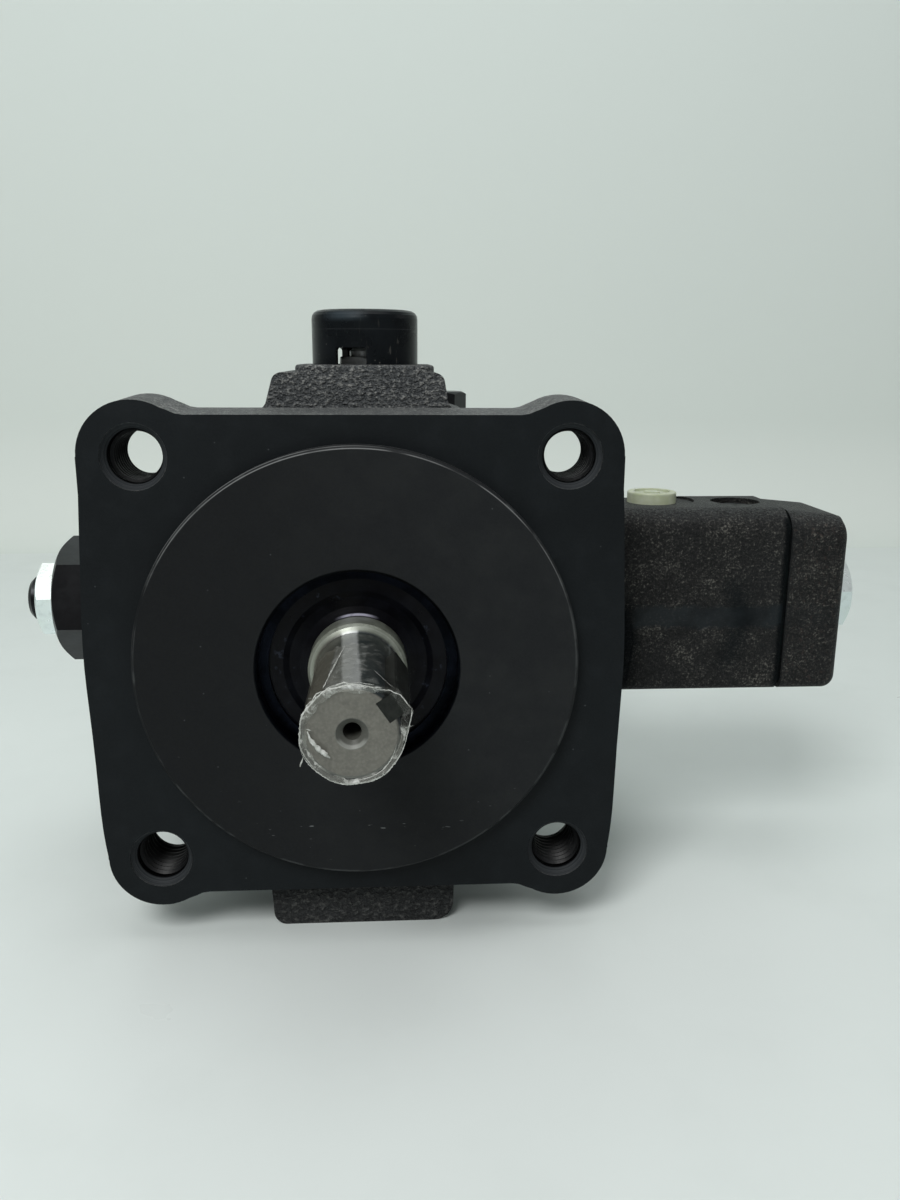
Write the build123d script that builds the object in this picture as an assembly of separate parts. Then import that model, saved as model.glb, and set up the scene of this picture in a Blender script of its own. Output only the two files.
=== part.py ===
from build123d import *
import math
import os

os.makedirs("parts", exist_ok=True)

# Hydraulic vane pump, variable displacement, millimetres.
# Origin: shaft axis at the mounting face of the flange.
# +Z up, the shaft points to -Y, the control block is on +X.

# ---------------------------------------------------------------- driving sizes
flange_side = 60.4        # half width of the flange
flange_flat = 57.1        # half height of the flange between its ears
flange_t = 18.5
flange_draft = 0.6        # growth of the outline over the flange's thickness
bolt_half = 48.0          # half of the 96 mm bolt square
bolt_r = 5.9
bolt_cham, bolt_cham_d = 1.5, 2.3
ear_r = 12.3
bulge_x = 62.25           # the sides of the flange swell at mid height
spigot_r = 50.8
spigot_h = 4.3
recess_r = 22.9
seal_bore_r = 20.6
shaft_r = 9.525
shaft_end = -43.2
journal_r = 11.3
seat_r = 12.5             # bearing seat
key_w = 4.76
key_angle = 34.0

body_half = 50.0          # ring housing, half side
body_corner = 20.0
cover_y = 67.0            # joint face of the rear cover
cover_end = 93.0
hub_end = 106.0
chamber_r = 42.0
ring_y = 49.0             # middle of the cam ring
rotor_w = 21.9
rotor_r = 27.0
ring_in_r = 30.2
ring_out_r = 38.0
ecc = 3.0                 # stroke of the cam ring
vane_count = 11
vane_t = 2.0
slot_clear = 0.03

ctl_y = 49.0              # control axis, both adjusting screws
ctl_z = 5.0
screw_r = 5.95            # M12 screws
blk_y0, blk_y1 = 29.0, 62.5
blk_z0, blk_z1 = -17.7, 31.2
blk_x0, blk_x1 = 62.0, 111.45
cap_x0, cap_x1 = 112.45, 128.6
cap_drop0, cap_drop1 = 0.7, 2.2   # the end cap's top slopes down to its outer end
bolt6 = [(36.8, -9.2), (55.0, -9.2), (36.8, 23.6), (55.0, 23.6)]

plug_af = 29.3
plug_x0 = -68.4
plug_x1 = -80.3
nut_af = 19.0
lnut_x1 = -86.2
lscrew_x1 = -89.3
rnut_x1 = 135.5

top_x, top_y = 1.6, 49.0  # thrust screw
pad_top = 67.4
boss_top = 65.6
rest_z = -70.2            # bottom of the lower boss
suction_r = 12.1
pressure_r = 9.3
port_y = 84.6

C = Align.CENTER
MN = Align.MIN


# ---------------------------------------------------------------- small helpers
def cy(r, a, b, x=0.0, z=0.0):
    return Location((x, a, z), (-90, 0, 0)) * Cylinder(r, b - a, align=(C, C, MN))


def cx(r, a, b, y=ctl_y, z=ctl_z):
    return Location((a, y, z), (0, 90, 0)) * Cylinder(r, b - a, align=(C, C, MN))


def cz(r, a, b, x=top_x, y=top_y):
    return Location((x, y, a)) * Cylinder(r, b - a, align=(C, C, MN))


def cone_y(r0, r1, a, b, x=0.0, z=0.0):
    return Location((x, a, z), (-90, 0, 0)) * Cone(r0, r1, b - a, align=(C, C, MN))


def cone_x(r0, r1, a, b, y=ctl_y, z=ctl_z):
    return Location((a, y, z), (0, 90, 0)) * Cone(r0, r1, b - a, align=(C, C, MN))


def cone_z(r0, r1, a, b, x=top_x, y=top_y):
    return Location((x, y, a)) * Cone(r0, r1, b - a, align=(C, C, MN))


def bx(x0, x1, y0, y1, z0, z1):
    return Location(((x0 + x1) / 2, (y0 + y1) / 2, (z0 + z1) / 2)) * Box(
        x1 - x0, y1 - y0, z1 - z0
    )


def front(y):
    """Plane parallel to the flange: local x is X, local y is Z, normal is -Y."""
    return Plane(origin=(0, y, 0), x_dir=(1, 0, 0), z_dir=(0, -1, 0))


def prism_y(sk, y0, y1):
    return extrude(front(y1) * sk, amount=y1 - y0)


def side(x):
    """Plane across the control axis: local x is Y, local y is Z, normal is +X."""
    return Plane(origin=(x, 0, 0), x_dir=(0, 1, 0), z_dir=(1, 0, 0))


def prism_x(sk, x0, x1):
    return extrude(side(x0) * sk, amount=x1 - x0)


def spin_y(pts, x=0.0, z=0.0):
    """Ring about an axis along Y: pts are (radius, y)."""
    sk = Plane.XY * make_face(Polyline(*[(r, y) for r, y in pts], close=True))
    return Pos(x, 0, z) * revolve(sk, Axis.Y)


def spin_x(pts, y=ctl_y, z=ctl_z):
    """Ring about an axis along X: pts are (radius, x)."""
    sk = Plane.XY * make_face(Polyline(*[(x, r) for r, x in pts], close=True))
    return Pos(0, y, z) * revolve(sk, Axis.X)


def soft_face(pts):
    """Face of a closed outline given as (x, z, corner radius)."""
    f = make_face(Polyline(*[(x, z) for x, z, _ in pts], close=True))
    for x, z, r in pts:
        if r:
            v = min(f.vertices(), key=lambda q: (q.X - x) ** 2 + (q.Y - z) ** 2)
            f = fillet(v, r)
    return f


def hex_x(af, a, b, cham_a=0.0, cham_b=0.0, y=ctl_y, z=ctl_z, turn=0.0):
    """Hexagon prism along X. turn = 0 puts a flat to the front (-Y)."""
    sk = RegularPolygon(af / math.sqrt(3), 6, rotation=30 + turn)
    body = prism_x(Pos(y, z) * sk, a, b)
    rc, h = af / math.sqrt(3), b - a
    pts = [(0, a), (rc + 0.01, a), (rc + 0.01, b), (0, b)]
    if cham_a or cham_b:
        ra = af / 2 * 0.96 if cham_a else rc + 0.01
        rb = af / 2 * 0.96 if cham_b else rc + 0.01
        t = math.tan(math.radians(30))
        pts = [(0, a), (ra, a)]
        if cham_a:
            pts.append((rc + 0.01, a + (rc + 0.01 - ra) * t))
        if cham_b:
            pts.append((rc + 0.01, b - (rc + 0.01 - rb) * t))
        pts += [(rb, b), (0, b)]
        body = body & spin_x(pts, y, z)
    return body


def hex_z(af, a, b, x, y, turn=0.0, cham=True):
    sk = RegularPolygon(af / math.sqrt(3), 6, rotation=turn)
    body = extrude(Plane(origin=(x, y, a)) * sk, amount=b - a)
    if cham:
        rc = af / math.sqrt(3) + 0.01
        ra = af / 2 * 0.96
        t = (rc - ra) * math.tan(math.radians(30))
        pts = [(0, a), (rc, a), (rc, b - t), (ra, b), (0, b)]
        prof = Plane.XZ * make_face(Polyline(*pts, close=True))
        body = body & (Pos(x, y, 0) * revolve(prof, Axis.Z))
    return body


def cut_all(body, tools):
    for t in tools:
        body = body - t
    return body


def save(name, shape):
    shape.label = name
    export_step(shape, f"parts/{name}.step")


def group(solids):
    return Compound(children=list(solids))


# ---------------------------------------------------------------- flange outline
def flange_outline(d=0.0):
    """Outline of the flange, grown by d: the casting widens a little behind its machined face."""
    s, f, e = flange_side + d, flange_flat + d, ear_r + d
    c = bolt_half
    # the four sides without the corners, then a round ear on each bolt hole
    right = Rectangle(2 * s, 2 * c)
    tall = Rectangle(2 * 39.0, 2 * f)
    sk = right + tall
    for sx in (-1, 1):
        for sz in (-1, 1):
            sk += Pos(sx * c, sz * c) * Circle(e)
            # the slope between the flat and the ear
            sk += make_face(
                Polyline(
                    (sx * 33.0, sz * 50.0),
                    (sx * 37.0, sz * f),
                    (sx * 38.6, sz * (f + 0.25)),
                    (sx * 40.2, sz * (f + 0.95)),
                    (sx * 41.9, sz * (c + math.sqrt(e * e - 6.1 * 6.1))),
                    (sx * 44.0, sz * 50.0),
                    close=True,
                )
            )
    # both sides swell, most at mid height
    for sx, zs in ((-1, (44.0, 32.0, 20.0, 1.0, -12.0, -27.0, -40.0, -52.2)), (1, (44.0, 34.0, 20.0, 0.0, -14.0, -28.0, -40.0, -52.2))):
        xs = (flange_side - 0.25, 60.85, 61.5, bulge_x, 61.85, 61.45, 61.1, 59.5)
        pts = [(sx * (x + d), z) for x, z in zip(xs, zs)]
        a, b = pts[0], pts[-1]
        swell = make_face([
            Spline(*pts),
            Line(b, (sx * 50.0, b[1])),
            Line((sx * 50.0, b[1]), (sx * 50.0, a[1])),
            Line((sx * 50.0, a[1]), a),
        ])
        sk += swell
    return sk


def flange_body():
    """The flange: a short machined land, then drafted sides."""
    body = prism_y(flange_outline(), 0, 1.2)
    try:
        rest = loft([front(1.2) * flange_outline(), front(flange_t) * flange_outline(flange_draft)])
        if rest.volume < 1000 or not rest.is_valid:
            raise ValueError("loft")
    except Exception:
        rest = prism_y(flange_outline(), 1.0, 4.0) + prism_y(flange_outline(flange_draft), 3.9, flange_t)
        print("flange: stepped sides")
    return body + rest


def rounded(half, r):
    return RectangleRounded(2 * half, 2 * half, r)


# ---------------------------------------------------------------- front housing
def front_housing():
    body = flange_body()
    # drafted root behind the flange
    body += cy(spigot_r, -spigot_h + 0.7, 1)
    body += cone_y(spigot_r - 0.7, spigot_r, -spigot_h, -spigot_h + 0.7)
    ringbox = prism_y(rounded(body_half, body_corner), flange_t - 1, cover_y)
    body += ringbox
    # cone-shaped web from the flange to the ring housing
    body += loft([front(flange_t - 0.5) * rounded(56.5, 24), front(flange_t + 7) * rounded(body_half, body_corner)])
    # top boss with sloping sides
    top = soft_face([
        (-26.6, 46, 0), (-26.6, 55.8, 0), (-22.9, 57.2, 2.6), (-20.5, boss_top, 2.6),
        (21.2, boss_top, 2.6), (22.6, 57.2, 2.6), (27.2, 55.8, 0), (27.2, 46, 0),
    ])
    body += prism_y(top, 30.0, 66.5)
    # raised pad for the cap
    pad = extrude(Plane(origin=(top_x + 0.1, top_y, boss_top - 1)) * RectangleRounded(34.9, 34.6, 6), amount=pad_top - boss_top + 1)
    pad = fillet(pad.edges().group_by(Axis.Z)[-1], 0.8)
    body += pad
    # bottom boss with rounded corners, the pump stands on it
    low = soft_face([
        (-24.6, -46, 0), (-24.6, -57.0, 0), (-22.8, -59.0, 1.5), (-22.2, rest_z, 3.4),
        (22.7, rest_z, 5.2), (22.9, -59.0, 1.5), (25.0, -57.0, 0), (25.0, -46, 0),
    ])
    body += prism_y(low, 6.0, 66.5)
    # left boss for the volume screw, right pad for the control block
    body += cx(17.6, plug_x0 + 1.2, -45)
    body += prism_x(Pos((blk_y0 + blk_y1) / 2, (blk_z0 + blk_z1) / 2) * RectangleRounded(blk_y1 - blk_y0, blk_z1 - blk_z0, 5), 44, blk_x0 - 1)

    cuts = [
        cy(chamber_r, 31.4, cover_y + 1),
        cy(26.0, 14.5, 32),
        cy(27.4, 29.7, 31.3),
        cy(17.0, 9.0, 15),
        cy(seal_bore_r, -1.0, 10.2),
        cy(recess_r, -spigot_h - 1, -0.2),
        cone_y(recess_r + 0.7, recess_r, -spigot_h - 0.01, -spigot_h + 0.6),
        # thrust block bore, screw bore, nut recess
        cz(9.0, 36, 56.1),
        cz(4.02, 55, 63),
        cz(11.0, 62.2, pad_top + 1),
        # volume screw side
        cx(12.04, plug_x0 - 3, -50.2),
        cx(6.0, -51, -40),
        # control piston side
        cx(10.04, 30, blk_x0 + 1),
        # internal way from the seal back to the chamber
    ]
    for sx in (-1, 1):
        for sz in (-1, 1):
            x, z = sx * bolt_half, sz * bolt_half
            cuts.append(cy(bolt_r, -1, flange_t + 1.5, x, z))
            cuts.append(cone_y(bolt_r + bolt_cham, bolt_r, -0.001, bolt_cham_d, x, z))
            cuts.append(cy(4.92, 44, cover_y + 1, sx * 38.5, sz * 38.5))
    # clearance behind the ears for the nuts and heads of the mounting bolts
    for sx in (-1, 1):
        for sz in (-1, 1):
            cuts.append(cy(12.6, flange_t, 31.0, sx * bolt_half, sz * bolt_half))
    for y, z in bolt6:
        cuts.append(cx(2.94, 47, blk_x0, y, z))
    body = cut_all(body, cuts)
    return body


# ---------------------------------------------------------------- rear cover
def rear_cover():
    body = prism_y(rounded(body_half, body_corner), cover_y, cover_end)
    body += cy(34.0, cover_end - 1, hub_end - 2)
    body += cone_y(34.0, 32.0, hub_end - 2, hub_end)
    for sx, r in ((-1, 17.4), (1, 15.0)):
        a, b = (-61.0, -40) if sx < 0 else (40, 61.0)
        body += cx(r, a, b, port_y, 0)
    cuts = [
        cy(12.0, cover_y - 1, 89.5),
        cy(10.6, 88, 95.0),
        # O-ring groove
        spin_y([(43.4, cover_y - 1), (46.6, cover_y - 1), (46.6, cover_y + 1.85), (43.4, cover_y + 1.85)]),
        # ports
        cx(suction_r, -62, -38, port_y, 0),
        cx(suction_r - 2.0, -40, -25, port_y, 0),
        cx(pressure_r, 38, 62, port_y, 0),
        cx(pressure_r - 1.5, 25, 40, port_y, 0),
        cone_x(suction_r + 1.2, suction_r, -61.001, -59.8, port_y, 0),
        cone_x(pressure_r, pressure_r + 1.2, 59.8, 61.001, port_y, 0),
        # small plug on top
        cz(4.3, 41.5, body_half + 1, 23.0, 78.5),
    ]
    for sx in (-1, 1):
        cuts.append(kidney(sx, cover_y - 1, 88.0, 19.0, 30.0, 48))
        for sz in (-1, 1):
            cuts.append(cy(5.4, cover_y - 1, cover_end + 1, sx * 38.5, sz * 38.5))
    return cut_all(body, cuts)


def kidney(sx, y0, y1, r0, r1, half_angle):
    """Curved slot on the -X or +X side of the shaft."""
    a0 = (0 if sx > 0 else 180) - half_angle
    rm, w = (r0 + r1) / 2, (r1 - r0)
    arc = CenterArc((0, 0), rm, a0, 2 * half_angle)
    return prism_y(SlotArc(arc, w), y0, y1)


# ---------------------------------------------------------------- shaft group
def drive_shaft():
    pts = [
        (0, shaft_end), (shaft_r - 0.9, shaft_end), (shaft_r, shaft_end + 0.9), (shaft_r, -6.0),
        (journal_r - 0.6, -5.4), (journal_r, -4.6), (journal_r, 12.0), (seat_r, 13.2), (seat_r, 29.6),
        (seat_r - 0.7, 29.7), (seat_r - 0.7, 31.0), (seat_r, 31.1), (seat_r, 37.0), (10.9, 38.0),
        (10.9, 60.5), (10.9, 66.0), (10.0, 67.0), (10.0, 90.4), (9.2, 91.2), (0, 91.2),
    ]
    body = spin_y(pts)
    teeth = None
    for k in range(6):
        t = Rot(0, 60 * k, 0) * bx(-1.95, 1.95, 38.0, 59.9, 9.5, 12.4)
        teeth = t if teeth is None else teeth + t
    body += teeth
    body -= cy(1.8, shaft_end - 1, shaft_end + 13)
    body -= cone_y(3.1, 1.7, shaft_end - 0.001, shaft_end + 1.5)
    body -= Rot(0, -key_angle, 0) * bx(7.1, 13.0, shaft_end - 1, -18.0, -key_w / 2 - 0.02, key_w / 2 + 0.02)
    return body


def shaft_key():
    k = bx(7.12, 7.12 + key_w, shaft_end + 0.05, -18.05, -key_w / 2, key_w / 2)
    k = chamfer(k.edges().filter_by(Axis.Y), 0.3)
    return Rot(0, -key_angle, 0) * k


def rotor():
    y0, y1 = ring_y - rotor_w / 2, ring_y + rotor_w / 2
    body = cy(rotor_r, y0, y1)
    body -= cy(11.0, y0 - 1, y1 + 1)
    for k in range(6):
        body -= Rot(0, 60 * k, 0) * bx(-2.05, 2.05, y0 - 1, y1 + 1, 9.5, 12.5)
    for k in range(vane_count):
        a = 360 / vane_count * k
        body -= Rot(0, -a, 0) * bx(15.2, rotor_r + 2, y0 - 1, y1 + 1, -vane_t / 2 - slot_clear, vane_t / 2 + slot_clear)
        body -= Rot(0, -a, 0) * cy(1.5, y0 - 1, y1 + 1, 15.4, 0)
    return body


def vane(k):
    a = 360 / vane_count * k
    y0, y1 = ring_y - rotor_w / 2 + 0.03, ring_y + rotor_w / 2 - 0.03
    v = bx(15.3, rotor_r - 0.35, y0, y1, -vane_t / 2, vane_t / 2)
    # one-sided bevel of the tip
    v -= Rot(0, 0, 0) * Pos(rotor_r - 0.35, 0, vane_t / 2) * Rot(0, 45, 0) * Box(0.9, 200, 0.9)
    return Rot(0, -a, 0) * v


def cam_ring():
    y0, y1 = ring_y - rotor_w / 2 + 0.02, ring_y + rotor_w / 2 - 0.02
    x = -ecc
    body = cy(ring_out_r, y0, y1, x, 0) - cy(ring_in_r, y0 - 1, y1 + 1, x, 0)
    # flats where the control piston, the pusher and the thrust block touch
    body -= bx(x + ring_out_r - 0.6, x + ring_out_r + 3, y0 - 1, y1 + 1, -20, 24)
    body -= bx(x - ring_out_r - 3, x - ring_out_r + 0.6, y0 - 1, y1 + 1, -20, 24)
    body -= bx(x - 20, x + 24, y0 - 1, y1 + 1, ring_out_r - 0.4, ring_out_r + 3)
    return body


def port_plate(y0, y1, hole_r, slots):
    body = cy(chamber_r - 0.03, y0, y1) - cy(hole_r, y0 - 1, y1 + 1)
    for sx in (-1, 1):
        k = kidney(sx, slots[0], slots[1], 20.0, 28.0, 46)
        body -= k
    return body


# ---------------------------------------------------------------- bearing and seal
def bearing():
    y0, y1, pr, br = 14.5, 29.5, 19.25, 3.95
    ym = (y0 + y1) / 2
    groove = spin_circle(pr, ym, br + 0.05)
    outer = spin_y([(21.6, y0), (25.5, y0), (25.98, y0 + 0.5), (25.98, y1 - 0.5), (25.5, y1), (21.6, y1)]) - groove
    inner = spin_y([(seat_r + 0.02, y0), (16.9, y0), (16.9, y1), (seat_r + 0.02, y1)]) - groove
    balls, cage = [], spin_y([(18.2, ym - 5.2), (20.3, ym - 5.2), (20.3, ym + 5.2), (18.2, ym + 5.2)])
    for k in range(9):
        a = math.radians(40 * k + 12)
        p = Pos(pr * math.cos(a), ym, pr * math.sin(a))
        balls.append(p * Sphere(br))
        cage -= Rot(0, -(40 * k + 12), 0) * cx(br + 0.08, 17, 22, ym, 0)
    return outer, inner, balls, cage


def spin_circle(major, y, minor):
    return Location((0, y, 0), (-90, 0, 0)) * Torus(major, minor)


def shaft_seal():
    return spin_y(
        [
            (20.58, 0.9), (20.58, 8.6), (18.9, 8.6), (18.9, 3.6), (15.4, 3.6), (15.0, 7.2), (12.2, 7.2),
            (11.34, 6.2), (12.0, 5.0), (12.6, 3.2), (11.34, 1.6), (11.34, 1.2), (13.6, 2.0), (16.0, 1.6), (17.4, 0.9),
        ]
    )


def ext_ring(r_in, r_out, y0, y1, gap_deg=50, at=270):
    body = cy(r_out, y0, y1) - cy(r_in, y0 - 1, y1 + 1)
    a0, a1 = math.radians(at - gap_deg / 2), math.radians(at + gap_deg / 2)
    w = make_face(Polyline((0, 0), (60 * math.cos(a0), 60 * math.sin(a0)), (60 * math.cos(a1), 60 * math.sin(a1)), close=True))
    return body - prism_y(w, y0 - 1, y1 + 1)


# ---------------------------------------------------------------- control block
def block_section(shrink=0.0, drop=0.0):
    top = blk_z1 - drop
    w, h = blk_y1 - blk_y0 - 2 * shrink, top - blk_z0 - 2 * shrink
    sk = Rectangle(w, h)
    top_v = sk.vertices().sort_by(Axis.Y)[-2:]
    sk = fillet(top_v, 6.5)
    low_v = sk.vertices().sort_by(Axis.Y)[:2]
    sk = fillet(low_v, 2.4)
    return Pos((blk_y0 + blk_y1) / 2, (blk_z0 + top) / 2) * sk


drain_x, drain_y = 80.3, 50.4
hole2_x, hole2_y = 102.6, 46.5


def control_block():
    body = prism_x(block_section(), blk_x0, blk_x1)
    cuts = [
        cx(10.04, blk_x0 - 1, 69.0),
        cx(12.0, 68.0, blk_x1 + 1),
        cz(11.6, blk_z1 - 0.7, blk_z1 + 2, drain_x, drain_y),
        cz(4.4, blk_z1 - 3.9, blk_z1 + 1, drain_x, drain_y),
        cz(1.6, 12, blk_z1 - 3.5, drain_x, drain_y - 2.6),
        cz(6.6, blk_z1 - 2.2, blk_z1 + 2, hole2_x, hole2_y),
        cz(4.9, blk_z1 - 11, blk_z1, hole2_x, hole2_y),
        cz(2.0, 12, blk_z1 - 10, hole2_x, hole2_y),
    ]
    for y, z in bolt6:
        cuts.append(cx(3.3, blk_x0 - 1, blk_x1 + 1, y, z))
    return cut_all(body, cuts)


def end_cap():
    body = loft([side(cap_x0) * block_section(drop=cap_drop0), side(cap_x1) * block_section(drop=cap_drop1)])
    end_edges = [e for e in body.edges() if e.center().X > cap_x1 - 0.01]
    body = fillet(end_edges, 3.9)
    cuts = [
        cx(6.0, cap_x0 - 1, cap_x1 + 1),
        cx(11.2, cap_x0 - 1, cap_x0 + 4.0),
        cx(8.6, cap_x1 - 1.3, cap_x1 + 1),
    ]
    for y, z in bolt6:
        cuts.append(cx(3.3, cap_x0 - 1, cap_x1 + 1, y, z))
        cuts.append(cx(5.3, cap_x1 - 7.0, cap_x1 + 1, y, z))
    return cut_all(body, cuts)


def gasket(x0, x1, drop=0.0):
    body = prism_x(block_section(0.9, drop), x0, x1)
    body -= cx(12.2, x0 - 1, x1 + 1)
    for y, z in bolt6:
        body -= cx(3.4, x0 - 1, x1 + 1, y, z)
    return body


def cap_screw_x(y, z):
    """Long socket screw through end cap and block into the housing."""
    head0 = cap_x1 - 6.7
    s = cx(4.95, head0, cap_x1 - 0.8, y, z) + cx(2.9, 50.0, head0 + 0.1, y, z)
    s -= hex_x(5.0, cap_x1 - 4.0, cap_x1 + 1, y=y, z=z)
    return s


def control_piston():
    x0 = -ecc + ring_out_r - 0.6 + 0.06
    body = cx(10.0, x0, 64.6)
    body += cx(5.6, 64.0, 73.0)
    body -= cx(2.5, 60.0, 74.0)
    return body


def spring_x(x0, x1, mean_r, wire_r, turns):
    pitch = (x1 - x0 - 2 * wire_r) / turns
    path = Helix(pitch, pitch * turns, mean_r)
    start = path @ 0
    sect = Plane(origin=start, z_dir=path % 0) * Circle(wire_r)
    coil = sweep(sect, path=path)
    return Location((x0 + wire_r, ctl_y, ctl_z), (0, 90, 0)) * coil


def spring_seat():
    body = cx(10.6, 97.4, 102.0) + cx(5.6, 89.5, 98.0)
    body -= cone_x(0.4, 3.2, 99.4, 102.01)
    return body


def set_screw_x(x0, x1, socket_side, tip=1.0):
    """M12 adjusting screw. socket_side is -1 or +1: the end with the hexagon socket."""
    r, c = screw_r, 1.05
    body = spin_x([(0, x0), (r - c, x0), (r, x0 + c), (r, x1 - c), (r - c, x1), (0, x1)])
    if socket_side < 0:
        body -= hex_x(6.0, x0 - 1, x0 + 6.0)
    else:
        body -= hex_x(6.0, x1 - 6.0, x1 + 1)
    return body


def volume_plug():
    body = hex_x(plug_af, plug_x1, plug_x0, cham_a=1.0, turn=-13.6)
    body += cx(12.0, plug_x0 - 0.5, -50.4)
    body -= cx(6.0, plug_x1 - 1, -49)
    body -= cx(8.6, plug_x1 - 1, plug_x1 + 1.3)
    return body


def lock_nut_x(x0, x1, outer):
    body = hex_x(nut_af, x0, x1, cham_a=1.0 if outer < 0 else 0.5, cham_b=1.0 if outer > 0 else 0.5, turn=19)
    return body - cx(6.0, x0 - 1, x1 + 1)


# ---------------------------------------------------------------- top group
def thrust_cap():
    r, rin, top = 13.75, 11.6, 81.0
    pts = [
        (rin, pad_top + 0.05), (r, pad_top + 0.05), (r, top - 2.2), (r - 0.16, top - 1.35), (r - 0.65, top - 0.65),
        (r - 1.4, top - 0.2), (r - 2.4, top), (0, top), (0, top - 2.0), (rin - 0.8, top - 2.0), (rin, top - 2.8),
    ]
    prof = Plane.XZ * make_face(Polyline(*pts, close=True))
    body = Pos(top_x, top_y, 0) * revolve(prof, Axis.Z)
    # window at the foot of the cap, two more on the far sides
    win = bx(-4.0, 4.0, -16.0, -9.0, pad_top - 1, pad_top + 4.2)
    win = fillet(win.edges().filter_by(Axis.Y).group_by(Axis.Z)[-1], 0.8)
    for a in (14.6, 134.6, 254.6):
        body -= Pos(top_x, top_y, 0) * Rot(0, 0, -a) * win
    return body


def thrust_nut():
    a = 24.5
    body = hex_z(13.0, 62.85, 69.4, top_x, top_y, turn=-a)
    return body - cz(4.02, 60, 71)


def thrust_screw():
    r, c = 3.98, 0.7
    pts = [(0, 50.1), (r - c, 50.1), (r, 50.1 + c), (r, 71.5 - c), (r - c, 71.5), (0, 71.5)]
    prof = Plane.XZ * make_face(Polyline(*pts, close=True))
    body = Pos(top_x, top_y, 0) * revolve(prof, Axis.Z)
    return body - hex_z(4.0, 67.5, 73, top_x, top_y, cham=False)


# ---------------------------------------------------------------- other pieces
def shipping_plug():
    body = cz(6.7, blk_z1 - 0.68, blk_z1 + 2.35, drain_x, drain_y)
    top_edge = body.edges().sort_by(Axis.Z)[-1]
    body = fillet(top_edge, 0.5)
    body += cz(4.3, blk_z1 - 3.6, blk_z1, drain_x, drain_y)
    # grip recess
    body -= cz(4.9, blk_z1 + 1.75, blk_z1 + 3, drain_x, drain_y)
    body += cz(2.2, blk_z1 + 1.55, blk_z1 + 2.25, drain_x, drain_y)
    return body


def gallery_plug():
    body = cz(4.86, blk_z1 - 10.0, blk_z1 - 1.2, hole2_x, hole2_y)
    return body - hex_z(5.0, blk_z1 - 5.0, blk_z1, hole2_x, hole2_y, cham=False)


def cover_plug():
    body = hex_z(13.0, body_half + 1.3, 59.5, 23.0, 78.5, turn=0) + cz(8.0, body_half, body_half + 1.6, 23.0, 78.5)
    return body + cz(4.28, body_half - 8, body_half + 0.5, 23.0, 78.5)


def cover_screw(sx, sz):
    x, z = sx * 38.5, sz * 38.5
    s = cy(8.0, cover_end, cover_end + 10.0, x, z) + cy(4.9, 47.0, cover_end + 0.1, x, z)
    rim = [e for e in s.edges() if e.center().Y > cover_end + 9.9]
    s = chamfer(rim, 0.7)
    hexsk = Pos(x, z) * RegularPolygon(8.0 / math.sqrt(3), 6)
    return s - prism_y(hexsk, cover_end + 4.5, cover_end + 11)


# ---------------------------------------------------------------- write all nodes
save("front_housing", front_housing())
save("rear_cover", rear_cover())
save("cover_screws", group([cover_screw(sx, sz) for sx in (-1, 1) for sz in (-1, 1)]))
save("cover_o_ring", Pos(0, cover_y + 0.93, 0) * Location((0, 0, 0), (-90, 0, 0)) * Torus(45.0, 0.9))
save("cover_plug", cover_plug())

save("drive_shaft", drive_shaft())
save("shaft_key", shaft_key())
save("rotor", rotor())
for k in range(vane_count):
    save(f"vane_{k + 1:02d}", vane(k))
save("cam_ring", cam_ring())
save("front_port_plate", port_plate(31.6, 38.0, 15.6, (34.0, 39.0)))
save("rear_port_plate", port_plate(60.0, 66.95, 11.2, (59.0, 68.0)))

b_out, b_in, b_balls, b_cage = bearing()
save("bearing_outer_ring", b_out)
save("bearing_inner_ring", b_in)
save("bearing_balls", group(b_balls))
save("bearing_cage", b_cage)
save("rear_bush", cy(11.98, 69.5, 89.0) - cy(10.04, 69, 90))
save("shaft_seal", shaft_seal())
save("seal_spring", spin_circle(16.1, 5.4, 0.65))
save("shaft_snap_ring", ext_ring(seat_r - 0.65, 15.2, 29.75, 30.9, 44, 270))
save("bearing_retaining_ring", ext_ring(22.6, 27.35, 29.75, 31.2, 50, 90))

save("control_block", control_block())
save("end_cap", end_cap())
save("block_gasket", gasket(blk_x0 - 0.98, blk_x0 - 0.02))
save("end_cap_gasket", gasket(blk_x1 + 0.02, cap_x0 - 0.02))
save("control_screws", group([cap_screw_x(y, z) for y, z in bolt6]))
save("control_piston", control_piston())
save("pressure_spring", spring_x(64.75, 97.25, 8.0, 1.5, 5.0))
save("spring_seat", spring_seat())
save("pressure_screw", set_screw_x(102.1, rnut_x1 - 0.4, 1))
save("pressure_lock_nut", lock_nut_x(cap_x1 + 0.05, rnut_x1, 1))
save("pressure_washer", cx(8.5, cap_x1 - 1.28, cap_x1) - cx(6.05, cap_x1 - 3, cap_x1 + 1))
save("shipping_plug", shipping_plug())
save("gallery_plug", gallery_plug())

save("volume_plug", volume_plug())
save("volume_plug_washer", cx(15.4, plug_x0 + 0.02, plug_x0 + 1.18) - cx(12.1, plug_x0 - 1, plug_x0 + 3))
save("volume_screw", set_screw_x(lscrew_x1, -50.1, -1))
save("volume_pusher", cx(5.95, -50.0, -44.9))
save("volume_lock_nut", lock_nut_x(lnut_x1, plug_x1 - 0.05, -1))
save("volume_washer", cx(8.5, plug_x1, plug_x1 + 1.28) - cx(6.05, plug_x1 - 1, plug_x1 + 3))

save("thrust_block", cz(8.95, ring_out_r - 0.4 + 0.05, 50.0))
save("thrust_screw", thrust_screw())
save("thrust_lock_nut", thrust_nut())
save("thrust_washer", cz(7.9, 62.22, 62.8) - cz(4.05, 62, 64))
save("thrust_cap", thrust_cap())
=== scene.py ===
import math
import random

import bmesh
import bpy
from mathutils import Matrix, Vector, noise


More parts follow.
